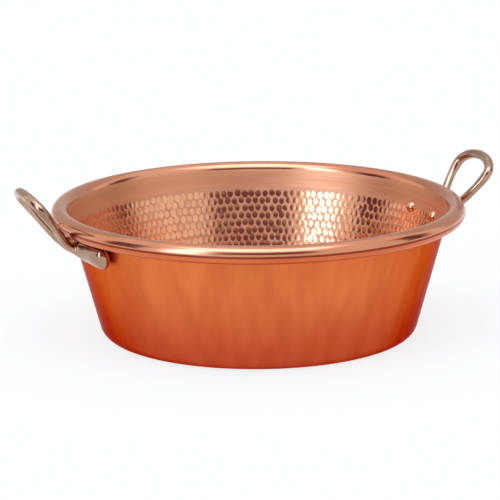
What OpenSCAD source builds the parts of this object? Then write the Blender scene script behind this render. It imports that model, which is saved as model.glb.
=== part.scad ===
// Copper jam pan with a rolled rim, two cast bronze loop handles and four rivets.
// Millimetres. The base stands on Z = 0 and the handles lie along X.

/* [Pan] */
// Outside diameter across the rolled rim
rim_diameter = 400; // [340:1:460]
// Height from the base to the top of the rim
pan_height = 129.4; // [110:0.2:150]
// Diameter of the flat of the base
base_diameter = 281; // [240:1:310]
// Outside radius of the corner between base and wall
base_corner = 14; // [8:0.5:20]
// Thickness of the copper sheet
sheet = 2; // [1.2:0.1:2.4]
// Outside diameter of the rolled rim
roll_diameter = 17.4; // [14:0.2:20]
// Angle at which the roll stops short of the wall, below the horizontal
roll_end_angle = 148; // [120:1:149]

/* [Hammer marks] */
// Marks in one row round the wall
marks_round = 156; // [100:1:156]
// Most rows of marks, counted down from the smooth band
mark_rows = 11; // [6:1:11]
// Height of one row
mark_pitch = 7.2; // [6:0.1:8]
// Depth of the middle of a mark below the ridges round it
mark_depth = 0.3; // [0.1:0.02:0.5]
// Depth of the ridges below the smooth wall
ridge_depth = 0.06; // [0.05:0.01:0.12]
// Height of the smooth band between the marks and the roll
smooth_band = 20; // [14:0.5:30]

/* [Loop] */
// Diameter of the bronze rod where it passes the rim
rod_diameter = 8; // [6:0.2:10]
// Diameter of the rod round the top of the loop, where the hand lifts
grip_diameter = 9.3; // [7:0.1:11]
// Part of the leg below which the rod keeps its lower diameter
grip_start = 0.57; // [0.3:0.01:0.8]
// Lean of the loop above the horizontal
loop_lean = 52.8; // [45:0.2:65]
// Gap between the legs and the rolled rim
leg_gap = 1.4; // [0.6:0.1:3]
// Width of the loop over the middle of the rod
loop_width = 67.2; // [56:0.2:80]
// Width between the middles of the legs where they pass the rim
neck_width = 37; // [30:0.5:44]
// Reach of the loop past the rim, along its lean, to the middle of the rod
loop_reach = 54.8; // [48:0.2:64]
// Part of the reach taken by the round end of the loop
loop_crown = 15.6; // [12:0.2:20]
// How fast the legs open above the neck
leg_opening = 0.47; // [0.2:0.01:0.7]

/* [Long foot] */
// Gap between the rolled rim and the long foot, which sets the height of both rivets
foot_gap = 2; // [1:0.1:5]
// Distance of the end of the foot from the middle of the handle
foot_reach = 61; // [54:0.5:68]
// Half height of the foot
foot_depth = 10.6; // [8:0.1:12]
// Half thickness of the foot where it leaves the leg
foot_thickness = 6; // [5:0.1:7]
// Half thickness of the domed end of the foot
boss_thickness = 7.4; // [6:0.1:9]
// How far the foot is let into its seat on the wall
foot_seat = 0.9; // [0.5:0.1:2]
// Gap between the casting and the wall once it is riveted tight
seat_gap = 0.05; // [0.02:0.01:0.2]

/* [Short foot] */
// Half height of the short foot at the wall
short_height = 10.5; // [8:0.1:12]
// Half width of the short foot at the wall
short_width = 9.5; // [7:0.1:11]

/* [Rivets] */
// Distance of the long foot's rivet from the middle of the handle
long_rivet = 33; // [30:0.5:40]
// Distance of the short foot's rivet from the middle of the handle
short_rivet = 15.5; // [12:0.5:20]
// Diameter of the shank
shank_diameter = 6; // [4:0.2:7]
// Diameter of the domed head inside the pan
head_diameter = 11; // [9:0.5:14]
// Height of the dome
head_height = 3.6; // [2.5:0.1:5]
// Radius of the dressed end of the tail
tail_round = 7; // [5:0.5:12]
// Gap round the shank and under the head
rivet_fit = 0.05; // [0.03:0.01:0.15]

/* [Hidden] */
$fn = 96;
handle_sides = 14;
crown_steps = 7;
leg_steps = 7;
heel_steps = 7;
foot_steps = 4;
dome_steps = 4;
short_steps = 8;
// Lengths of the curves that carry the legs into the two feet
heel_drop = 18;
heel_run = 12;
foot_lead = 7;
short_drop = 15;
short_run = 13;
short_sink = 2;
// The short foot's rivet ends this far inside the line of the neck
elbow_back = 4.6;
cutter_relief = 1;
overlap = 0.2;
// The pan's section in the radius and height plane
roll_radius = roll_diameter / 2;
roll_centre = [rim_diameter / 2 - roll_radius, pan_height - roll_radius];
corner_centre = [base_diameter / 2, base_corner];
span = roll_centre - corner_centre;
wall_normal_angle = atan2(span[1], span[0]) - acos((base_corner - sheet + roll_radius) / norm(span));
wall_normal = [cos(wall_normal_angle), sin(wall_normal_angle)];
wall_up = [-wall_normal[1], wall_normal[0]];
inner_foot = corner_centre + (base_corner - sheet) * wall_normal;
outer_foot = corner_centre + base_corner * wall_normal;
inner_top = roll_centre - roll_radius * wall_normal;
outer_top = roll_centre - (roll_radius - sheet) * wall_normal;
marks_top = inner_top[1] - smooth_band;
// A lower wall has room for fewer rows above the corner
rows = min(mark_rows, floor((marks_top - inner_foot[1]) / mark_pitch));
// The rivets' axes leave the wall here
seat = outer_top - (roll_radius + foot_gap + foot_depth) * wall_up;
long_angle = asin(long_rivet / seat[0]);
short_angle = -asin(short_rivet / seat[0]);
head_sphere = (pow(head_diameter / 2, 2) + pow(head_height, 2)) / (2 * head_height);
// A head lies flat on a curved wall, so it stands off by the hollow under it
head_hollow = pow(head_diameter / 2, 2) / (2 * (seat[0] - sheet));
// The loop's plane passes outside the roll
rod_radius = rod_diameter / 2;
grip_radius = grip_diameter / 2;
lean_along = [cos(loop_lean), sin(loop_lean)];
lean_out = [sin(loop_lean), -cos(loop_lean)];
neck_point = roll_centre + (roll_radius + leg_gap + rod_radius) * lean_out;
crown_start = loop_reach - loop_crown;
// Lengths of the tails outside the wall, so that they end flush with the casting
long_tail = 2 * foot_thickness - foot_seat - rivet_fit;
short_tail = (neck_point - seat) * wall_normal - elbow_back;

// A point on the inner face of the wall at a height
function wall_inside(z) = inner_foot + (z - inner_foot[1]) / (inner_top[1] - inner_foot[1]) * (inner_top - inner_foot);
// A point of the section turned round the Z axis
function turned(p, a) = [p[0] * cos(a), p[0] * sin(a), p[1]];
function unit(v) = v / norm(v);
function mix(a, b, t) = a + (b - a) * t;
function ease(t) = let (u = min(1, max(0, t))) u * u * (3 - 2 * u);
function bezier(p, t) = let (u = 1 - t)
    u * u * u * p[0] + 3 * u * u * t * p[1] + 3 * u * t * t * p[2] + t * t * t * p[3];

// Each step of the handle's path gives [point, outward direction, half thickness, half width].
// The loop: one leg and half of the round end, on the +Y side
lean_normal = [lean_out[0], 0, lean_out[1]];
function lean_step(s, y, radius) = let (q = neck_point + s * lean_along)
    [[q[0], y, q[1]], lean_normal, radius, radius];
function crown_step(t) = lean_step(crown_start + loop_crown * cos(90 * t), loop_width / 2 * sin(90 * t), grip_radius);
function leg_width(t) = neck_width / 2 * (2 * t * t * t - 3 * t * t + 1)
    + leg_opening * crown_start * (t * t * t - 2 * t * t + t)
    + loop_width / 2 * (3 * t * t - 2 * t * t * t);
function leg_step(t) = lean_step(crown_start * t, leg_width(t),
    mix(rod_radius, grip_radius, ease((t - grip_start) / (1 - grip_start))));
neck_step = lean_step(0, neck_width / 2, rod_radius);
leg_direction = unit([-lean_along[0], -leg_opening, -lean_along[1]]);

// The long foot follows the wall at the height of the rivets
foot_start_angle = asin((long_rivet - foot_lead) / seat[0]);
foot_end_angle = asin((foot_reach - boss_thickness) / seat[0]);
function foot_step(t) = let (
    a = mix(foot_start_angle, foot_end_angle, t),
    thickness = mix(foot_thickness, boss_thickness, ease(t)))
    [turned(seat + (thickness - foot_seat) * wall_normal, a), turned(wall_normal, a), thickness, foot_depth];
// The end of the foot closes like a dome
function dome_step(t) = let (
    last = foot_step(1),
    ahead = [-sin(foot_end_angle), cos(foot_end_angle), 0],
    shrink = cos(84 * t))
    [last[0] + boss_thickness * sin(84 * t) * ahead, last[1], last[2] * shrink, last[3] * shrink];
// The heel is a curve that carries the leg down and round into the long foot
foot_direction = [-sin(foot_start_angle), cos(foot_start_angle), 0];
heel_points = [neck_step[0], neck_step[0] + heel_drop * leg_direction,
               foot_step(0)[0] - heel_run * foot_direction, foot_step(0)[0]];
function heel_step(t) = let (to = foot_step(0), e = ease(t))
    [bezier(heel_points, t), unit(mix(neck_step[1], to[1], e)), mix(neck_step[2], to[2], e), mix(neck_step[3], to[3], e)];

// The short foot is the end of the other leg, which bends in to the wall along its rivet.
// It is worked out on the +Y side too and then mirrored.
short_axis = turned(wall_normal, -short_angle);
short_end = turned(seat - short_sink * wall_normal, -short_angle);
short_points = [neck_step[0], neck_step[0] + short_drop * leg_direction, short_end + short_run * short_axis, short_end];
function short_step(t) = let (e = ease((t - 0.3) / 0.6))
    [bezier(short_points, t), unit(mix(neck_step[1], turned(-wall_up, -short_angle), ease(t))),
     mix(rod_radius, short_height, e), mix(rod_radius, short_width, e)];

function mirrored(v) = [v[0], -v[1], v[2]];
loop_half = concat(
    [for (i = [0 : crown_steps - 1]) crown_step(i / crown_steps)],
    [for (i = [0 : leg_steps - 1]) leg_step(1 - i / leg_steps)]);
long_half = concat(loop_half,
    [for (i = [0 : heel_steps - 1]) heel_step(i / heel_steps)],
    [for (i = [0 : foot_steps - 1]) foot_step(i / foot_steps)],
    [for (i = [0 : dome_steps]) dome_step(i / dome_steps)]);
short_half = concat(loop_half, [for (i = [0 : short_steps]) short_step(i / short_steps)]);
handle_path = concat(
    [for (i = [len(short_half) - 1 : -1 : 1])
        [mirrored(short_half[i][0]), mirrored(short_half[i][1]), short_half[i][2], short_half[i][3]]],
    long_half);

// A closed solid swept along a path with an oval section of changing size
module sweep(path, sides) {
    last = len(path) - 1;
    function along(i) = unit(path[min(i + 1, last)][0] - path[max(i - 1, 0)][0]);
    function ring(i) = let (
        t = along(i),
        n = unit(path[i][1] - (path[i][1] * t) * t),
        b = cross(t, n))
        [for (k = [0 : sides - 1]) path[i][0]
            + path[i][2] * cos(360 * k / sides) * n + path[i][3] * sin(360 * k / sides) * b];
    points = concat([for (i = [0 : last]) each ring(i)], [path[0][0], path[last][0]]);
    start_centre = (last + 1) * sides;
    end_centre = start_centre + 1;
    sides_faces = [for (i = [0 : last - 1]) for (k = [0 : sides - 1])
        let (a = i * sides + k, b = i * sides + (k + 1) % sides)
        each [[a, b, a + sides], [b, b + sides, a + sides]]];
    start_faces = [for (k = [0 : sides - 1]) [start_centre, (k + 1) % sides, k]];
    end_faces = [for (k = [0 : sides - 1]) [end_centre, last * sides + k, last * sides + (k + 1) % sides]];
    polyhedron(points = points, faces = concat(sides_faces, start_faces, end_faces), convexity = 8);
}

// The ring that cuts the hammer marks into the wall: staggered rows of six-sided dishes
module hammer_cutter() {
    columns = 2 * marks_round;
    step = 360 / columns;
    function at(k, z, depth) = turned(wall_inside(z) + depth * wall_normal, k * step);
    function edge_height(row) = marks_top - row * mark_pitch;
    function corner(row, k) = at(k, edge_height(row) + ((k + row) % 2 == 0 ? 1 : -1) * mark_pitch / 6, ridge_depth);
    function middle(row, i) = at(2 * i + row % 2, edge_height(row + 0.5), ridge_depth + mark_depth);
    corner_points = [for (row = [0 : rows]) for (k = [0 : columns - 1]) corner(row, k)];
    middle_points = [for (row = [0 : rows - 1]) for (i = [0 : marks_round - 1]) middle(row, i)];
    lid_points = [for (end = [0, 1]) for (i = [0 : marks_round - 1])
        at(2 * i, end == 0 ? edge_height(-0.5) : edge_height(rows + 0.5), -cutter_relief)];
    first_middle = len(corner_points);
    first_lid = first_middle + len(middle_points);
    function c(row, k) = row * columns + (k + columns) % columns;
    function m(row, i) = first_middle + row * marks_round + i;
    function l(end, i) = first_lid + end * marks_round + i % marks_round;
    dishes = [for (row = [0 : rows - 1]) for (i = [0 : marks_round - 1])
        let (k = 2 * i + row % 2,
             rim = [c(row, k), c(row, k + 1), c(row + 1, k + 1), c(row + 1, k), c(row + 1, k - 1), c(row, k - 1)])
        each [for (q = [0 : 5]) [m(row, i), rim[q], rim[(q + 1) % 6]]]];
    upper_edge = [for (i = [0 : marks_round - 1])
        each [[l(0, i), c(0, 2 * i + 1), c(0, 2 * i)], [l(0, i), l(0, i + 1), c(0, 2 * i + 1)],
              [l(0, i + 1), c(0, 2 * i + 2), c(0, 2 * i + 1)]]];
    lower_edge = [for (i = [0 : marks_round - 1])
        each [[l(1, i), c(rows, 2 * i), c(rows, 2 * i + 1)],
              [l(1, i), c(rows, 2 * i + 1), l(1, i + 1)],
              [l(1, i + 1), c(rows, 2 * i + 1), c(rows, 2 * i + 2)]]];
    inner_side = [for (i = [0 : marks_round - 1])
        each [[l(0, i), l(1, i), l(0, i + 1)], [l(0, i + 1), l(1, i), l(1, i + 1)]]];
    polyhedron(points = concat(corner_points, middle_points, lid_points),
        faces = concat(dishes, upper_edge, lower_edge, inner_side), convexity = 10);
}

// The sheet's section: base, corner, wall and the open roll of the rim.
// Base and wall end in a point inside the next piece, so that they always join.
module pan_section() {
    half = sheet / 2;
    polygon([[0, 0], [corner_centre[0], 0], [corner_centre[0] + half, half], [corner_centre[0], sheet], [0, sheet]]);
    intersection() {
        translate(corner_centre)
            difference() {
                circle(r = base_corner);
                circle(r = base_corner - sheet);
            }
        polygon([corner_centre, corner_centre - [0, 2 * base_corner],
            corner_centre + 2 * base_corner * [1, -1], corner_centre + 2 * base_corner * wall_normal]);
    }
    polygon([inner_foot, (inner_foot + outer_foot) / 2 - half * wall_up, outer_foot,
        outer_top, (inner_top + outer_top) / 2 + half * wall_up, inner_top]);
    difference() {
        translate(roll_centre)
            difference() {
                circle(r = roll_radius);
                circle(r = roll_radius - sheet);
            }
        polygon([roll_centre, roll_centre - 2 * roll_radius * wall_normal,
            roll_centre + 2 * roll_radius * [cos(roll_end_angle), -sin(roll_end_angle)]]);
    }
}

// Everything inside the outer face of the wall, grown by a gap: what the casting must stay clear of
module wall_body(gap) {
    grown = gap * wall_normal;
    rotate_extrude()
        polygon([[0, outer_foot[1]], outer_foot + grown, outer_top + grown, [0, outer_top[1]]]);
}

// Places a rivet's axis, with Z pointing outward through the wall
module at_rivet(angle) {
    rotate([0, 0, angle])
        translate([seat[0], 0, seat[1]])
            rotate([0, 90 - wall_normal_angle, 0])
                children();
}

module rivet_hole(angle) {
    at_rivet(angle)
        translate([0, 0, -4 * sheet])
            cylinder(d = shank_diameter + 2 * rivet_fit, h = 4 * sheet + short_tail + foot_depth);
}

module pan() {
    color("peru")
        difference() {
            rotate_extrude($fn = 2 * marks_round)
                pan_section();
            hammer_cutter();
            for (turn = [0, 180])
                for (angle = [long_angle, short_angle])
                    rotate([0, 0, turn])
                        rivet_hole(angle);
        }
}

module handle() {
    color("darkkhaki")
        difference() {
            sweep(handle_path, handle_sides);
            wall_body(seat_gap);
            for (angle = [long_angle, short_angle])
                rivet_hole(angle);
        }
}

// Half of a rivet's section: domed head inside the pan, shank through wall and foot,
// and a tail dressed round and flush with the foot
module rivet_section(tail) {
    head_base = sheet + head_hollow + rivet_fit;
    tail_start = tail - tail_round + sqrt(pow(tail_round, 2) - pow(shank_diameter / 2, 2));
    intersection() {
        translate([0, -head_base - head_height + head_sphere])
            circle(r = head_sphere);
        translate([0, -head_base - head_height])
            square([head_diameter, head_height]);
    }
    translate([0, -head_base - overlap])
        square([shank_diameter / 2, head_base + overlap + tail_start]);
    intersection() {
        translate([0, tail - tail_round])
            circle(r = tail_round);
        translate([0, tail_start - overlap])
            square([shank_diameter / 2, tail]);
    }
}

module long_foot_rivet() {
    color("sandybrown")
        at_rivet(long_angle)
            rotate_extrude()
                rivet_section(long_tail);
}

module short_foot_rivet() {
    color("sandybrown")
        at_rivet(short_angle)
            rotate_extrude()
                rivet_section(short_tail);
}

// The left handle and its rivets are those of the right one, turned half a turn
module on_the_left() {
    rotate([0, 0, 180])
        children();
}

pan();
on_the_left() handle();  // left_handle
handle();  // right_handle
on_the_left() long_foot_rivet();  // left_front_rivet
on_the_left() short_foot_rivet();  // left_rear_rivet
short_foot_rivet();  // right_front_rivet
long_foot_rivet();  // right_rear_rivet
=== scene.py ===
"""Looks of a hammered copper jam pan with bronze loop handles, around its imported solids."""

import math

import bpy
import numpy as np
from mathutils import Matrix


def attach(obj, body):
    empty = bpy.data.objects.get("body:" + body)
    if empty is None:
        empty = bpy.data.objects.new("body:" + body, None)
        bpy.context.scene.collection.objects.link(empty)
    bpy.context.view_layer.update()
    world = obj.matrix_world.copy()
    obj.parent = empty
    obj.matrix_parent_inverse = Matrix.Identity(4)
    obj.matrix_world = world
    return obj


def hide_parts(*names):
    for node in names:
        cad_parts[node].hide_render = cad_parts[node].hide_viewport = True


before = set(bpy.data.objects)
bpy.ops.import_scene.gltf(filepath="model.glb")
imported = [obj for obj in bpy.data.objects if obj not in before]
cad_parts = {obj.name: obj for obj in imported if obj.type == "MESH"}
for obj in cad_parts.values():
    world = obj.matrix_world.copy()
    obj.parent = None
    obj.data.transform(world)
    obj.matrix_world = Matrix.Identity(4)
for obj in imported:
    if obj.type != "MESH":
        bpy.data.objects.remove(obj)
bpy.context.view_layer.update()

# Sections and paths are worked out in millimetres, and meshes are made in metres.
METRE = 0.001

# The pan's section, with the values that its solid has
RIM_DIAMETER = 400.0
PAN_HEIGHT = 129.4
BASE_DIAMETER = 281.0
BASE_CORNER = 14.0
SHEET = 2.0
ROLL_RADIUS = 8.7
ROLL_END_ANGLE = 148.0
# The bead is polished down to the first angle. From there to the second it has a painted dark
# reflection, a dark line for the dark room in front mirrored in the bead. Below that it is duller,
# and redder with a painted reflection of the copper wall under it
BEAD_POLISH_END = 1.0
BEAD_DARK_PAINTED_REFLECTION_END = -13.0

# The hammer marks. One row goes on below those of the solid, down to the corner.
MARKS_ROUND = 156
MARK_ROWS = 12
MARK_PITCH = 7.2
MARK_WIDTH = 7.3
MARK_HALF_WIDTH = 3.0
MARK_HALF_HEIGHT = 3.5
MARK_DEPTH = 0.11
MARK_SEED = 7
# How far a mark's place, size and floor may wander. Places are in shares of the pitch.
MARK_SHIFT_ROUND = 0.09
MARK_SHIFT_DOWN = 0.08
MARK_SIZES = (0.93, 1.1)
MARK_TILT = 0.012
# The squared share of a mark's size that stands for any point far off all marks
NO_MARK = 4.0
SMOOTH_BAND = 20.0

# How finely the pan's skin is divided. A marked ring has three times the shell's columns.
COLUMNS_PER_MARK = 6
RINGS_PER_MARK = 6
SHELL_COLUMNS = 312
BASE_RINGS = 6
CORNER_STEPS = 8
BAND_RINGS = 4
BEAD_STEPS = 20
BEAD_DARK_PAINTED_REFLECTION_STEPS = 3
BEAD_BELOW_PAINTED_REFLECTION_STEPS = 13
CURL_STEPS = 15
WALL_RINGS = 6
# The solid's facets cut across its round, and this keeps the rounder skin in its box.
ROUND_FIT = 0.9995

# The handle, with the values that its solid has, but for the loop's reach, which is 0.2 less
# so that the rounder skin stays in the solid's box
ROD_RADIUS = 4.0
GRIP_RADIUS = 4.65
GRIP_START = 0.57
LOOP_LEAN = 52.8
LEG_GAP = 1.4
LOOP_WIDTH = 67.2
NECK_WIDTH = 37.0
LOOP_REACH = 54.6
LOOP_CROWN = 15.6
LEG_OPENING = 0.47
FOOT_GAP = 2.0
FOOT_REACH = 61.0
FOOT_DEPTH = 10.6
FOOT_THICKNESS = 6.0
BOSS_THICKNESS = 7.4
FOOT_SEAT = 0.9
SEAT_GAP = 0.05
SHORT_HEIGHT = 10.5
SHORT_WIDTH = 9.5
LONG_RIVET = 33.0
SHORT_RIVET = 15.5
HEEL_DROP = 18.0
HEEL_RUN = 12.0
FOOT_LEAD = 7.0
SHORT_DROP = 15.0
SHORT_RUN = 13.0
SHORT_SINK = 2.0
# The short foot swells over this part of its way, and the dome closes down to this angle.
SHORT_SWELL_START = 0.3
SHORT_SWELL_RUN = 0.6
DOME_ANGLE = 87.0

# How finely the handle's skin is divided
HANDLE_SIDES = 40
CROWN_STEPS = 24
LEG_STEPS = 18
HEEL_STEPS = 24
FOOT_STEPS = 14
DOME_STEPS = 12
SHORT_STEPS = 32

# The camera, fitted to the photograph's frame of 500 by 500. Angles but for the azimuth are in
# radians, and the offset is in millimetres.
FRAME_PIXELS = 500.0
FOCAL_PIXELS = 3300.0
CAMERA_PITCH = 0.22934
CAMERA_ROLL = -0.0082
CAMERA_OFFSET = (8.857, 78.742, 3211.946)
CAMERA_AZIMUTH = 20.6
SENSOR_WIDTH = 36.0
CLIP_START = 0.1
CLIP_END = 50.0


def polar(degrees):
    return np.array([math.cos(math.radians(degrees)), math.sin(math.radians(degrees))])


def unit(vector):
    return vector / np.linalg.norm(vector)


roll_centre = np.array([RIM_DIAMETER / 2 - ROLL_RADIUS, PAN_HEIGHT - ROLL_RADIUS])
corner_centre = np.array([BASE_DIAMETER / 2, BASE_CORNER])
span = roll_centre - corner_centre
tangent_share = (BASE_CORNER - SHEET + ROLL_RADIUS) / np.linalg.norm(span)
wall_angle = math.degrees(math.atan2(span[1], span[0]) - math.acos(tangent_share))
wall_normal = polar(wall_angle)
inner_foot = corner_centre + (BASE_CORNER - SHEET) * wall_normal
outer_foot = corner_centre + BASE_CORNER * wall_normal
inner_top = roll_centre - ROLL_RADIUS * wall_normal
outer_top = roll_centre - (ROLL_RADIUS - SHEET) * wall_normal
wall_up = np.array([-wall_normal[1], wall_normal[0]])
seat = outer_top - (ROLL_RADIUS + FOOT_GAP + FOOT_DEPTH) * wall_up
marks_top = inner_top[1] - SMOOTH_BAND


def on_line(start, end, height):
    return start + (height - start[1]) / (end[1] - start[1]) * (end - start)


def place_camera():
    """The fitted camera: a pitch and a roll, an offset from the pan's foot, and a turn round it."""
    c, s = math.cos(CAMERA_ROLL), math.sin(CAMERA_ROLL)
    roll = np.array([[c, -s, 0], [s, c, 0], [0, 0, 1]])
    sp, cp = math.sin(CAMERA_PITCH), math.cos(CAMERA_PITCH)
    rows = roll @ np.array([[1, 0, 0], [0, -sp, -cp], [0, cp, -sp]])
    centre = -rows.T @ np.array(CAMERA_OFFSET) * METRE
    turn = np.array(Matrix.Rotation(math.radians(-CAMERA_AZIMUTH), 3, "Z"))
    axes = turn @ np.array([rows[0], -rows[1], -rows[2]]).T
    matrix = np.eye(4)
    matrix[:3, :3] = axes
    matrix[:3, 3] = turn @ centre
    data = bpy.data.cameras.new("camera")
    data.sensor_width = SENSOR_WIDTH
    data.lens = SENSOR_WIDTH * FOCAL_PIXELS / FRAME_PIXELS
    data.clip_start = CLIP_START
    data.clip_end = CLIP_END
    camera = bpy.data.objects.new("camera", data)
    camera.matrix_world = Matrix(matrix.tolist())
    bpy.context.scene.collection.objects.link(camera)
    bpy.context.scene.camera = camera


place_camera()


# Small helpers for node trees
def put(tree, kind, **settings):
    made = tree.nodes.new(kind)
    for name, value in settings.items():
        setattr(made, name, value)
    return made


def feed(tree, socket, value):
    if isinstance(value, bpy.types.NodeSocket):
        tree.links.new(value, socket)
    elif value is not None:
        socket.default_value = value


def calc(tree, operation, a, b=None):
    made = put(tree, "ShaderNodeMath", operation=operation)
    for socket, value in zip(made.inputs, (a, b)):
        feed(tree, socket, value)
    return made.outputs[0]


def smooth_step(tree, value, low, high, start=0.0, end=1.0):
    made = put(tree, "ShaderNodeMapRange", interpolation_type="SMOOTHSTEP")
    for socket, given in zip(made.inputs, (value, low, high, start, end)):
        feed(tree, socket, given)
    return made.outputs[0]


def window(tree, value, low, high, blur):
    rise = smooth_step(tree, value, low - blur, low + blur)
    fall = smooth_step(tree, value, high - blur, high + blur, 1.0, 0.0)
    return calc(tree, "MULTIPLY", rise, fall)


def blend_colours(tree, factor, a, b, blend="MIX"):
    made = put(tree, "ShaderNodeMix", data_type="RGBA", blend_type=blend)
    feed(tree, made.inputs[0], factor)
    feed(tree, made.inputs[6], a)
    feed(tree, made.inputs[7], b)
    return made.outputs[2]


def noise(tree, vector, scale, detail=3.0, roughness=0.5):
    made = put(tree, "ShaderNodeTexNoise")
    feed(tree, made.inputs["Vector"], vector)
    made.inputs["Scale"].default_value = scale
    made.inputs["Detail"].default_value = detail
    made.inputs["Roughness"].default_value = roughness
    return made.outputs["Fac"]


def stretched(tree, vector, x, y, z):
    made = put(tree, "ShaderNodeMapping")
    feed(tree, made.inputs["Vector"], vector)
    made.inputs["Scale"].default_value = (x, y, z)
    return made.outputs[0]


def object_place(tree):
    return put(tree, "ShaderNodeTexCoord").outputs["Object"]


def shader_of(material):
    return material.node_tree.nodes["Principled BSDF"]


def add_bump(tree, relief, distance, normal):
    made = put(tree, "ShaderNodeBump")
    made.inputs["Distance"].default_value = distance
    made.inputs["Strength"].default_value = 1.0
    feed(tree, made.inputs["Height"], relief)
    feed(tree, made.inputs["Normal"], normal)
    return made.outputs[0]


def rgb(red, green, blue):
    """A colour given as it looks on screen, turned into a shader's linear values."""
    parts = [v / 255 for v in (red, green, blue)]
    linear = [v / 12.92 if v <= 0.04045 else ((v + 0.055) / 1.055) ** 2.4 for v in parts]
    return (*linear, 1.0)


# The studio's lamp and dark or grey cards: middle azimuth, half width, lowest and highest, in
# degrees, and light. Azimuth 0 is towards the camera and grows to its right. Between them the
# metal mirrors the same white background that the camera sees.
STUDIO_PANELS = [
    (4.5, 28.0, 13.0, 38.0, (0.2, 0.08, 0.11)),
    (-43.5, 11.0, 2.0, 52.0, (3.1, 3.8, 4.9)),
    (-80.0, 11.5, -10.0, 38.0, (0.14, 0.05, 0.06)),
    (98.0, 9.0, -10.0, 38.0, (0.14, 0.05, 0.06)),
    (-152.0, 28.0, -20.0, 45.0, (0.62, 0.6, 0.58)),
    (152.0, 28.0, -20.0, 45.0, (0.62, 0.6, 0.58)),
]
PANEL_BLUR = 2.0
# A wide light above the front half, in shares of a direction of length 1, from the first
# elevation up and in full from the second
CEILING_HALF_WIDTH = 0.45
CEILING_BLUR = 0.08
CEILING_BACK = 0.15
CEILING_RISE = (42.0, 58.0)
CEILING_LIGHT = (2.7, 3.2, 3.9)
ROOM_LIGHT = (1.0, 1.0, 1.0, 1.0)


def build_world():
    world = bpy.data.worlds.new("studio")
    bpy.context.scene.world = world
    world.use_nodes = True
    tree = world.node_tree
    tree.nodes.clear()
    direction = put(tree, "ShaderNodeTexCoord").outputs["Generated"]
    turned_way = put(tree, "ShaderNodeVectorRotate", rotation_type="Z_AXIS")
    feed(tree, turned_way.inputs["Vector"], direction)
    turned_way.inputs["Angle"].default_value = math.radians(CAMERA_AZIMUTH)
    parts = put(tree, "ShaderNodeSeparateXYZ")
    feed(tree, parts.inputs[0], turned_way.outputs[0])
    x, y, z = parts.outputs
    azimuth = calc(tree, "DEGREES", calc(tree, "ARCTAN2", x, calc(tree, "MULTIPLY", y, -1.0)))
    elevation = calc(tree, "DEGREES", calc(tree, "ARCSINE", z))

    light = ROOM_LIGHT
    for middle, half, low, high, panel in STUDIO_PANELS:
        across = window(tree, azimuth, middle - half, middle + half, PANEL_BLUR)
        upward = window(tree, elevation, low, high, 2 * PANEL_BLUR)
        light = blend_colours(tree, calc(tree, "MULTIPLY", across, upward), light, (*panel, 1.0))
    across = window(tree, x, -CEILING_HALF_WIDTH, CEILING_HALF_WIDTH, CEILING_BLUR)
    above = calc(tree, "MULTIPLY", across, smooth_step(tree, elevation, *CEILING_RISE))
    front = smooth_step(tree, y, -CEILING_BACK, CEILING_BACK, 1.0, 0.0)
    above = calc(tree, "MULTIPLY", above, front)
    light = blend_colours(tree, above, light, (*CEILING_LIGHT, 1.0))
    seen = put(tree, "ShaderNodeLightPath").outputs["Is Camera Ray"]
    light = blend_colours(tree, seen, light, ROOM_LIGHT)
    studio = put(tree, "ShaderNodeBackground")
    feed(tree, studio.inputs["Color"], light)
    feed(tree, put(tree, "ShaderNodeOutputWorld").inputs["Surface"], studio.outputs[0])


build_world()


# How much of the floor's look to the camera and in the metal is plain white, against its
# own shading, which carries the object's shadow
FLOOR_WHITE = 0.8
FLOOR_COLOUR = (0.8, 0.8, 0.8, 1.0)
FLOOR_DROP = -0.0002
FLOOR_HALF = 4.0


def build_floor():
    ends = ((-1, -1), (1, -1), (1, 1), (-1, 1))
    corners = [(x * FLOOR_HALF, y * FLOOR_HALF, FLOOR_DROP) for x, y in ends]
    mesh = bpy.data.meshes.new("floor")
    mesh.from_pydata(corners, [], [(0, 1, 2, 3)])
    floor = bpy.data.objects.new("floor", mesh)
    bpy.context.scene.collection.objects.link(floor)
    material = bpy.data.materials.new("floor_white")
    material.use_nodes = True
    tree = material.node_tree
    tree.nodes.clear()
    shaded = put(tree, "ShaderNodeBsdfDiffuse")
    shaded.inputs["Color"].default_value = FLOOR_COLOUR
    white = put(tree, "ShaderNodeEmission")
    rays = put(tree, "ShaderNodeLightPath").outputs
    seen = calc(tree, "MAXIMUM", rays["Is Camera Ray"], rays["Is Glossy Ray"])
    seen = calc(tree, "MAXIMUM", seen, rays["Is Transmission Ray"])
    share = calc(tree, "MULTIPLY", seen, FLOOR_WHITE)
    choice = put(tree, "ShaderNodeMixShader")
    feed(tree, choice.inputs[0], share)
    feed(tree, choice.inputs[1], shaded.outputs[0])
    feed(tree, choice.inputs[2], white.outputs[0])
    feed(tree, put(tree, "ShaderNodeOutputMaterial").inputs["Surface"], choice.outputs[0])
    mesh.materials.append(material)


build_floor()


# Metals
TONE_SCALE = 9.0
TONE_DETAIL = 4.0
TONE_ROUGHNESS = 0.6
TONE_EDGES = (0.3, 0.7)
WEAR_FINENESS = 4
EVEN = (1, 1, 1)


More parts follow.
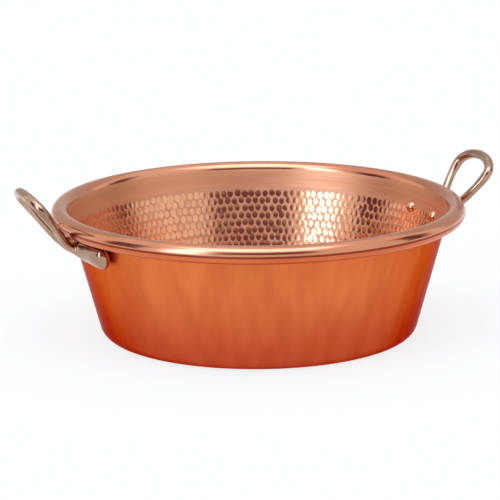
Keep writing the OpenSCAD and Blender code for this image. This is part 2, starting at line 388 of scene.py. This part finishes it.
def metal(name, dull, bright, roughness, spread, grain, tone_scale=TONE_SCALE, stretch=EVEN, edge=None):
    """A metal whose colour wanders between two tones, with roughness that varies by spread.
    grain is its relief: noise scale, detail, height in metres and stretch. edge tints what the
    metal mirrors at a grazing angle."""
    material = bpy.data.materials.new(name)
    material.use_nodes = True
    tree = material.node_tree
    shader = shader_of(material)
    place = object_place(tree)
    toned = stretched(tree, place, *stretch)
    tone = noise(tree, toned, tone_scale, TONE_DETAIL, TONE_ROUGHNESS)
    factor = smooth_step(tree, tone, *TONE_EDGES)
    feed(tree, shader.inputs["Base Color"], blend_colours(tree, factor, dull, bright))
    shader.inputs["Metallic"].default_value = 1.0
    if edge:
        shader.inputs["Specular Tint"].default_value = edge
    worn = noise(tree, toned, tone_scale * WEAR_FINENESS, TONE_DETAIL, TONE_ROUGHNESS)
    rough = smooth_step(tree, worn, *TONE_EDGES, roughness - spread, roughness + spread)
    feed(tree, shader.inputs["Roughness"], rough)
    scale, detail, height, grain_stretch = grain
    relief = noise(tree, stretched(tree, place, *grain_stretch), scale, detail)
    feed(tree, shader.inputs["Normal"], add_bump(tree, relief, height, None))
    return material


MARK_DARK = rgb(220, 156, 122)
MARK_LIGHT = rgb(230, 170, 132)
MARK_ROUGHNESS = 0.13
# Squared shares of a mark's size between which its polish ends
MARK_EDGE = (0.8, 1.15)


def polish_the_marks(material):
    """The hammer leaves smooth dishes of slightly different tones between rougher ridges."""
    tree = material.node_tree
    shader = shader_of(material)
    share = put(tree, "ShaderNodeAttribute", attribute_name="mark_share").outputs["Fac"]
    tone = put(tree, "ShaderNodeAttribute", attribute_name="mark_tone").outputs["Fac"]
    inside = smooth_step(tree, share, *MARK_EDGE, 1.0, 0.0)
    colour = blend_colours(tree, tone, MARK_DARK, MARK_LIGHT)
    ridge_colour = shader.inputs["Base Color"].links[0].from_socket
    feed(tree, shader.inputs["Base Color"], blend_colours(tree, inside, ridge_colour, colour))
    mixed = put(tree, "ShaderNodeMix", data_type="FLOAT")
    feed(tree, mixed.inputs[0], inside)
    feed(tree, mixed.inputs[2], shader.inputs["Roughness"].links[0].from_socket)
    mixed.inputs[3].default_value = MARK_ROUGHNESS
    feed(tree, shader.inputs["Roughness"], mixed.outputs[0])


# Painted shade: the darker, redder tint laid over the outside near the table, and the height in metres
# up to which it reaches
PAINTED_SHADE_COLOUR = rgb(222, 174, 188)
PAINTED_SHADE_HIGHEST = 0.09


def paint_shade_below(material):
    """Painted shade: the colour gets darker and redder from the height given above down to the table,
    in metres, for the pan's shadow on the floor mirrored in the wall near its foot.
    """
    tree = material.node_tree
    shader = shader_of(material)
    parts = put(tree, "ShaderNodeSeparateXYZ")
    feed(tree, parts.inputs[0], object_place(tree))
    share = smooth_step(tree, parts.outputs[2], 0.0, PAINTED_SHADE_HIGHEST, 1.0, 0.0)
    under = shader.inputs["Base Color"].links[0].from_socket
    feed(tree, shader.inputs["Base Color"], blend_colours(tree, share, under, PAINTED_SHADE_COLOUR, "MULTIPLY"))


SHEEN_STRETCH = 0.7
SHEEN_TURN = 0.25


def draw_out_sheen(material):
    """The sheen is longer one way than the other, a quarter turn from the way round the axis."""
    tree = material.node_tree
    shader = shader_of(material)
    shader.inputs["Anisotropic"].default_value = SHEEN_STRETCH
    shader.inputs["Anisotropic Rotation"].default_value = SHEEN_TURN
    way = put(tree, "ShaderNodeTangent", direction_type="RADIAL", axis="Z")
    feed(tree, shader.inputs["Tangent"], way.outputs[0])


RING_SCALE = 900.0
RING_HEIGHT = 0.0002


def turn_rings(material):
    """Fine rings round the pan's axis, as turning and scouring leave them."""
    tree = material.node_tree
    shader = shader_of(material)
    reach = put(tree, "ShaderNodeVectorMath", operation="LENGTH")
    feed(tree, reach.inputs[0], stretched(tree, object_place(tree), 1, 1, 0))
    along = put(tree, "ShaderNodeCombineXYZ")
    feed(tree, along.inputs[0], reach.outputs["Value"])
    rings = noise(tree, along.outputs[0], RING_SCALE)
    under = shader.inputs["Normal"].links[0].from_socket
    feed(tree, shader.inputs["Normal"], add_bump(tree, rings, RING_HEIGHT, under))


inside_base = metal("copper_inside_base", rgb(204, 122, 84), rgb(214, 134, 96), roughness=0.34,
                    spread=0.04, grain=(240.0, 3.0, 0.00008, EVEN), tone_scale=24.0)
turn_rings(inside_base)
hammered = metal("copper_hammered", rgb(214, 154, 118), rgb(230, 174, 140), roughness=0.5,
                 spread=0.04, grain=(260.0, 2.0, 0.00006, EVEN), tone_scale=14.0)
polish_the_marks(hammered)
band = metal("copper_band", rgb(210, 146, 108), rgb(226, 164, 128), roughness=0.46,
             spread=0.05, grain=(9.0, 4.0, 0.0002, (1, 1, 60)), tone_scale=3.0, stretch=(1, 1, 18))
bead = metal("copper_bead", rgb(206, 134, 102), rgb(220, 152, 120), roughness=0.17,
             spread=0.03, grain=(10.0, 3.0, 0.0001, (1, 1, 12)))
# Painted reflection: a dark strip on the bead under its polish, for the dark room in front mirrored
# there
bead_dark_painted_reflection = metal("copper_bead_dark_painted_reflection", rgb(128, 54, 38), rgb(152, 70, 50), roughness=0.24,
                  spread=0.04, grain=(120.0, 3.0, 0.0001, EVEN))
# Partly painted reflection: the bead's underside is rougher, and its redder colour stands for the
# copper wall mirrored in it
bead_below_painted_reflection = metal("copper_bead_below_painted_reflection", rgb(210, 102, 58), rgb(224, 120, 72), roughness=0.3,
                   spread=0.04, grain=(120.0, 3.0, 0.0001, EVEN))
curl = metal("copper_curl", rgb(176, 88, 54), rgb(196, 108, 66), roughness=0.4,
             spread=0.05, grain=(90.0, 3.0, 0.0001, EVEN))
outside = metal("copper_outside", rgb(216, 108, 58), rgb(230, 124, 70), roughness=0.34,
                spread=0.03, grain=(260.0, 3.0, 0.0001, (1, 1, 0.1)), tone_scale=60.0,
                stretch=(1, 1, 0.1), edge=rgb(202, 142, 150))
# Painted shade on the outside near the table
paint_shade_below(outside)
draw_out_sheen(outside)
underside = metal("copper_underside", rgb(160, 80, 46), rgb(190, 104, 64), roughness=0.42,
                  spread=0.06, grain=(120.0, 3.0, 0.0001, EVEN))
bronze = metal("cast_bronze", rgb(156, 122, 102), rgb(196, 164, 140), roughness=0.11,
               spread=0.04, grain=(45.0, 1.0, 0.0016, EVEN), tone_scale=30.0)
rivet_copper = metal("rivet_copper", rgb(220, 150, 116), rgb(238, 176, 146), roughness=0.16,
                     spread=0.04, grain=(200.0, 2.0, 0.0002, EVEN), tone_scale=60.0)

# The pan's finishes, and the place of each in this list
PAN_SKINS = [inside_base, hammered, band, bead, curl, outside, underside, bead_below_painted_reflection, bead_dark_painted_reflection]
(INSIDE_BASE, HAMMERED, BAND, BEAD, CURL, OUTSIDE, UNDERSIDE, BEAD_BELOW_PAINTED_REFLECTION,
 BEAD_DARK_PAINTED_REFLECTION) = range(len(PAN_SKINS))


# The pan's sheet, one closed skin of rings round the axis
def mark_field(angles, height):
    """How deep the hammer has pressed the wall at each angle and height, how far off the middle
    of the nearest mark that is as a share of the mark's size, squared, and that mark's tone."""
    rng = np.random.default_rng(MARK_SEED)
    shape = (MARK_ROWS, MARKS_ROUND)
    shift_u = rng.uniform(-MARK_SHIFT_ROUND, MARK_SHIFT_ROUND, shape)
    shift_v = rng.uniform(-MARK_SHIFT_DOWN, MARK_SHIFT_DOWN, shape)
    size = rng.uniform(*MARK_SIZES, shape)
    tilt_u = rng.normal(0.0, MARK_TILT, shape)
    tilt_v = rng.normal(0.0, MARK_TILT, shape)
    tones = rng.uniform(0.0, 1.0, shape)
    turns = angles * MARKS_ROUND / (2 * math.pi)
    rows = (marks_top - height) / MARK_PITCH
    pressed = np.zeros(len(turns))
    nearest = np.full(len(turns), NO_MARK)
    tone = np.zeros(len(turns))
    for row in range(max(0, math.floor(rows) - 1), min(MARK_ROWS, math.floor(rows) + 2)):
        middle = np.round(turns - (row % 2) / 2)
        for column in (middle - 1, middle, middle + 1):
            index = (row, column.astype(int) % MARKS_ROUND)
            u = (turns - (row % 2) / 2 - column - shift_u[index]) * MARK_WIDTH / size[index]
            v = (rows - row - 0.5 - shift_v[index]) * MARK_PITCH / size[index]
            share = (u / MARK_HALF_WIDTH) ** 2 + (v / MARK_HALF_HEIGHT) ** 2
            closer = share < nearest
            nearest = np.where(closer, share, nearest)
            tone = np.where(closer, tones[index], tone)
            dish = MARK_DEPTH + tilt_u[index] * u + tilt_v[index] * v
            pressed = np.maximum(pressed, np.where(share < 1, dish * (1 - share**3), 0.0))
    return pressed, nearest, tone


def arc(centre, radius, start, end, steps):
    angles = np.linspace(start, end, steps + 1)
    return [centre + radius * polar(a) for a in angles]


def bead_arc(radius, start, end, steps):
    return arc(roll_centre, radius, start, end, steps)


def pan_rings():
    """The section from the middle of the inside to the middle of the underside, as
    (radius and height, finish of the strip that follows, whether it carries marks)."""
    strip = MARK_PITCH / RINGS_PER_MARK
    marks_high = marks_top + strip
    marks_low = marks_top - MARK_ROWS * MARK_PITCH - strip
    marked_heights = np.arange(marks_low, marks_high + strip / 2, strip)
    band_heights = np.linspace(marks_high + strip, inner_top[1], BAND_RINGS)[:-1]
    base_reaches = np.linspace(0, BASE_DIAMETER / 2, BASE_RINGS)[1:-1]
    back = wall_angle + 180.0
    inner = ROLL_RADIUS - SHEET
    parts = [
        ([(r, SHEET) for r in base_reaches], INSIDE_BASE),
        (arc(corner_centre, BASE_CORNER - SHEET, -90, wall_angle, CORNER_STEPS), INSIDE_BASE),
        ([on_line(inner_foot, inner_top, z) for z in marked_heights], HAMMERED),
        ([on_line(inner_foot, inner_top, z) for z in band_heights], BAND),
        (bead_arc(ROLL_RADIUS, back, BEAD_POLISH_END, BEAD_STEPS)[:-1], BEAD),
        # The strip of painted dark reflection on the bead
        (bead_arc(ROLL_RADIUS, BEAD_POLISH_END, BEAD_DARK_PAINTED_REFLECTION_END, BEAD_DARK_PAINTED_REFLECTION_STEPS)[:-1], BEAD_DARK_PAINTED_REFLECTION),
        (bead_arc(ROLL_RADIUS, BEAD_DARK_PAINTED_REFLECTION_END, -ROLL_END_ANGLE, BEAD_BELOW_PAINTED_REFLECTION_STEPS), BEAD_BELOW_PAINTED_REFLECTION),
        (bead_arc(inner, -ROLL_END_ANGLE, back, CURL_STEPS)[:-1], CURL),
        (list(np.linspace(outer_top, outer_foot, WALL_RINGS)[:-1]), OUTSIDE),
        (arc(corner_centre, BASE_CORNER, wall_angle, -90, CORNER_STEPS), OUTSIDE),
        ([(r, 0.0) for r in reversed(base_reaches)], UNDERSIDE),
    ]
    return [(place, finish, finish == HAMMERED) for places, finish in parts for place in places]


def make_object(name, vertices, faces, materials, finishes=None):
    mesh = bpy.data.meshes.new(name)
    mesh.from_pydata((np.asarray(vertices) * METRE).tolist(), [], faces)
    for material in materials:
        mesh.materials.append(material)
    mesh.polygons.foreach_set("use_smooth", np.ones(len(mesh.polygons), bool))
    if finishes is not None:
        mesh.polygons.foreach_set("material_index", np.asarray(finishes, np.int32))
    mesh.update()
    made = bpy.data.objects.new(name, mesh)
    bpy.context.scene.collection.objects.link(made)
    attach(made, "root")
    return made


def strip_faces(first, first_count, second, second_count):
    """Faces between two rings of vertices. One ring may have three times the vertices."""
    if first_count == second_count:
        n = first_count
        return [(first + k, second + k, second + (k + 1) % n, first + (k + 1) % n) for k in range(n)]
    faces = []
    n = min(first_count, second_count)
    for k in range(n):
        after = (k + 1) % n
        fine = [(3 * k + q) % (3 * n) for q in range(4)]
        if second_count > first_count:
            a, b = first + k, first + after
            g = [second + q for q in fine]
            faces += [(a, g[0], g[1]), (a, g[1], g[2], b), (b, g[2], g[3])]
        else:
            a, b = second + k, second + after
            g = [first + q for q in fine]
            faces += [(a, g[1], g[0]), (a, b, g[2], g[1]), (b, g[3], g[2])]
    return faces


def ring_of_points(place, marked):
    """One ring of the pan's skin, with the mark's share and tone at each of its points."""
    count = MARKS_ROUND * COLUMNS_PER_MARK if marked else SHELL_COLUMNS
    angles = np.arange(count) * 2 * math.pi / count
    radius = np.full(count, place[0] * ROUND_FIT)
    height = np.full(count, place[1])
    mark = np.tile([NO_MARK, 0.0], (count, 1))
    if marked:
        pressed, mark[:, 0], mark[:, 1] = mark_field(angles, place[1])
        radius = radius + pressed * wall_normal[0]
        height = height + pressed * wall_normal[1]
    return np.stack([radius * np.cos(angles), radius * np.sin(angles), height], 1), mark


def build_pan():
    middle_mark = np.array([[NO_MARK, 0.0]])
    points, marks = [np.array([[0.0, 0.0, SHEET]])], [middle_mark]
    faces, finishes = [], []
    start, count, total = 0, 1, 1
    last_finish = INSIDE_BASE
    for place, finish, marked in pan_rings():
        ring, mark = ring_of_points(place, marked)
        n = len(ring)
        if count == 1:
            made = [(0, total + k, total + (k + 1) % n) for k in range(n)]
        else:
            made = strip_faces(start, count, total, n)
        points.append(ring)
        marks.append(mark)
        faces += made
        finishes += [last_finish] * len(made)
        last_finish = finish
        start, count, total = total, n, total + n
    points.append(np.array([[0.0, 0.0, 0.0]]))
    marks.append(middle_mark)
    faces += [(start + k, total, start + (k + 1) % count) for k in range(count)]
    finishes += [UNDERSIDE] * count
    pan = make_object("copper_pan", np.concatenate(points), faces, PAN_SKINS, finishes)
    for name, values in zip(("mark_share", "mark_tone"), np.concatenate(marks).T):
        field = pan.data.attributes.new(name, "FLOAT", "POINT")
        field.data.foreach_set("value", values.astype(np.float32))
    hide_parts("pan")


build_pan()


# The handles
def turned(point, angle):
    c, s = polar(angle)
    return np.array([point[0] * c, point[0] * s, point[1]])


def ease(t):
    t = min(1.0, max(0.0, t))
    return t * t * (3 - 2 * t)


def bezier(p, t):
    u = 1 - t
    return u**3 * p[0] + 3 * u * u * t * p[1] + 3 * u * t * t * p[2] + t**3 * p[3]


def shares(steps):
    return np.linspace(0, 1, steps + 1)


def handle_path():
    """The centreline from the short foot over the loop to the end of the long foot, as in the
    solid: point, outward way, half thickness, half width."""
    along = np.array([polar(LOOP_LEAN)[0], 0.0, polar(LOOP_LEAN)[1]])
    out = np.array([along[2], 0.0, -along[0]])
    neck = roll_centre + (ROLL_RADIUS + LEG_GAP + ROD_RADIUS) * np.array([out[0], out[2]])
    crown_start = LOOP_REACH - LOOP_CROWN
    first_angle = math.degrees(math.asin((LONG_RIVET - FOOT_LEAD) / seat[0]))
    last_angle = math.degrees(math.asin((FOOT_REACH - BOSS_THICKNESS) / seat[0]))
    short_angle = math.degrees(math.asin(SHORT_RIVET / seat[0]))

    def lean(s, y, radius):
        return [np.array([neck[0], y, neck[1]]) + s * along, out, radius, radius]

    def crown(t):
        c, s = polar(90 * t)
        return lean(crown_start + LOOP_CROWN * c, LOOP_WIDTH / 2 * s, GRIP_RADIUS)

    def leg(t):
        leave = 2 * t**3 - 3 * t**2 + 1
        open_out = t**3 - 2 * t**2 + t
        width = NECK_WIDTH / 2 * leave + LOOP_WIDTH / 2 * (1 - leave)
        width += LEG_OPENING * crown_start * open_out
        share = ease((t - GRIP_START) / (1 - GRIP_START))
        return lean(crown_start * t, width, ROD_RADIUS + (GRIP_RADIUS - ROD_RADIUS) * share)

    def foot(t):
        a = first_angle + (last_angle - first_angle) * t
        thick = FOOT_THICKNESS + (BOSS_THICKNESS - FOOT_THICKNESS) * ease(t)
        point = turned(seat + (thick - FOOT_SEAT) * wall_normal, a)
        return [point, turned(wall_normal, a), thick, FOOT_DEPTH]

    def dome(t):
        last = foot(1.0)
        ahead = np.array([-polar(last_angle)[1], polar(last_angle)[0], 0.0])
        shrink, reach = polar(DOME_ANGLE * t)
        return [last[0] + BOSS_THICKNESS * reach * ahead, last[1], last[2] * shrink, last[3] * shrink]

    start, end = lean(0.0, NECK_WIDTH / 2, ROD_RADIUS), foot(0.0)
    down = unit(np.array([-along[0], -LEG_OPENING, -along[2]]))
    foot_way = np.array([-polar(first_angle)[1], polar(first_angle)[0], 0.0])
    bend = [start[0], start[0] + HEEL_DROP * down, end[0] - HEEL_RUN * foot_way, end[0]]

    def heel(t):
        e = ease(t)
        way = unit(start[1] + (end[1] - start[1]) * e)
        thick = start[2] + (end[2] - start[2]) * e
        deep = start[3] + (end[3] - start[3]) * e
        return [bezier(bend, t), way, thick, deep]

    short_end = turned(seat - SHORT_SINK * wall_normal, short_angle)
    short_bend = [start[0], start[0] + SHORT_DROP * down,
                  short_end + SHORT_RUN * turned(wall_normal, short_angle), short_end]

    def short(t):
        e = ease((t - SHORT_SWELL_START) / SHORT_SWELL_RUN)
        way = start[1] + (turned(-wall_up, short_angle) - start[1]) * ease(t)
        thick = start[2] + (SHORT_HEIGHT - start[2]) * e
        deep = start[3] + (SHORT_WIDTH - start[3]) * e
        return [bezier(short_bend, t), unit(way), thick, deep]

    loop = [crown(t) for t in shares(CROWN_STEPS)[:-1]]
    loop += [leg(1 - t) for t in shares(LEG_STEPS)[:-1]]
    long_side = loop + [heel(t) for t in shares(HEEL_STEPS)[:-1]]
    long_side += [foot(t) for t in shares(FOOT_STEPS)[:-1]]
    long_side += [dome(t) for t in np.sin(math.pi / 2 * shares(DOME_STEPS))]
    short_side = loop[1:] + [short(t) for t in shares(SHORT_STEPS)]
    flip = np.array([1.0, -1.0, 1.0])
    return [[p * flip, w * flip, a, b] for p, w, a, b in reversed(short_side)] + long_side


def let_into_wall(vertices):
    """The back of each foot follows the slope of the wall, which it clears by the seat's gap."""
    radius = np.hypot(vertices[:, 0], vertices[:, 1])
    out = (radius - outer_foot[0]) * wall_normal[0]
    clear = out + (vertices[:, 2] - outer_foot[1]) * wall_normal[1]
    push = np.clip(SEAT_GAP - clear, 0, None)
    push[vertices[:, 2] > outer_top[1]] = 0
    grown = 1 + push * wall_normal[0] / radius
    vertices[:, 0] *= grown
    vertices[:, 1] *= grown
    vertices[:, 2] += push * wall_normal[1]


def build_handle(name, node, turn):
    path = handle_path()
    points = []
    sweep = np.linspace(0, 2 * math.pi, HANDLE_SIDES, endpoint=False)
    across, sideways = np.cos(sweep)[:, None], np.sin(sweep)[:, None]
    for i, (point, way, thick, deep) in enumerate(path):
        along = unit(path[min(i + 1, len(path) - 1)][0] - path[max(i - 1, 0)][0])
        out = unit(way - (way @ along) * along)
        points.append(point + thick * across * out + deep * sideways * np.cross(along, out))
    vertices = np.concatenate(points + [path[0][0][None], path[-1][0][None]])
    let_into_wall(vertices)
    n, rings = HANDLE_SIDES, len(path)
    faces = []
    for i in range(rings - 1):
        near, far = i * n, (i + 1) * n
        faces += [(near + k, near + (k + 1) % n, far + (k + 1) % n, far + k) for k in range(n)]
    faces += [(rings * n, (k + 1) % n, k) for k in range(n)]
    faces += [(rings * n + 1, (rings - 1) * n + k, (rings - 1) * n + (k + 1) % n) for k in range(n)]
    c, s = polar(turn)
    vertices = vertices @ np.array([[c, s, 0], [-s, c, 0], [0, 0, 1]])
    handle = make_object(name, vertices, faces, [bronze])
    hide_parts(node)


build_handle("right_loop_handle", "right_handle", 0)
build_handle("left_loop_handle", "left_handle", 180)

for rivet in ("left_front_rivet", "left_rear_rivet", "right_front_rivet", "right_rear_rivet"):
    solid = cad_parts[rivet]
    solid.data.materials.clear()
    solid.data.materials.append(rivet_copper)

bpy.context.scene.view_settings.view_transform = "Standard"
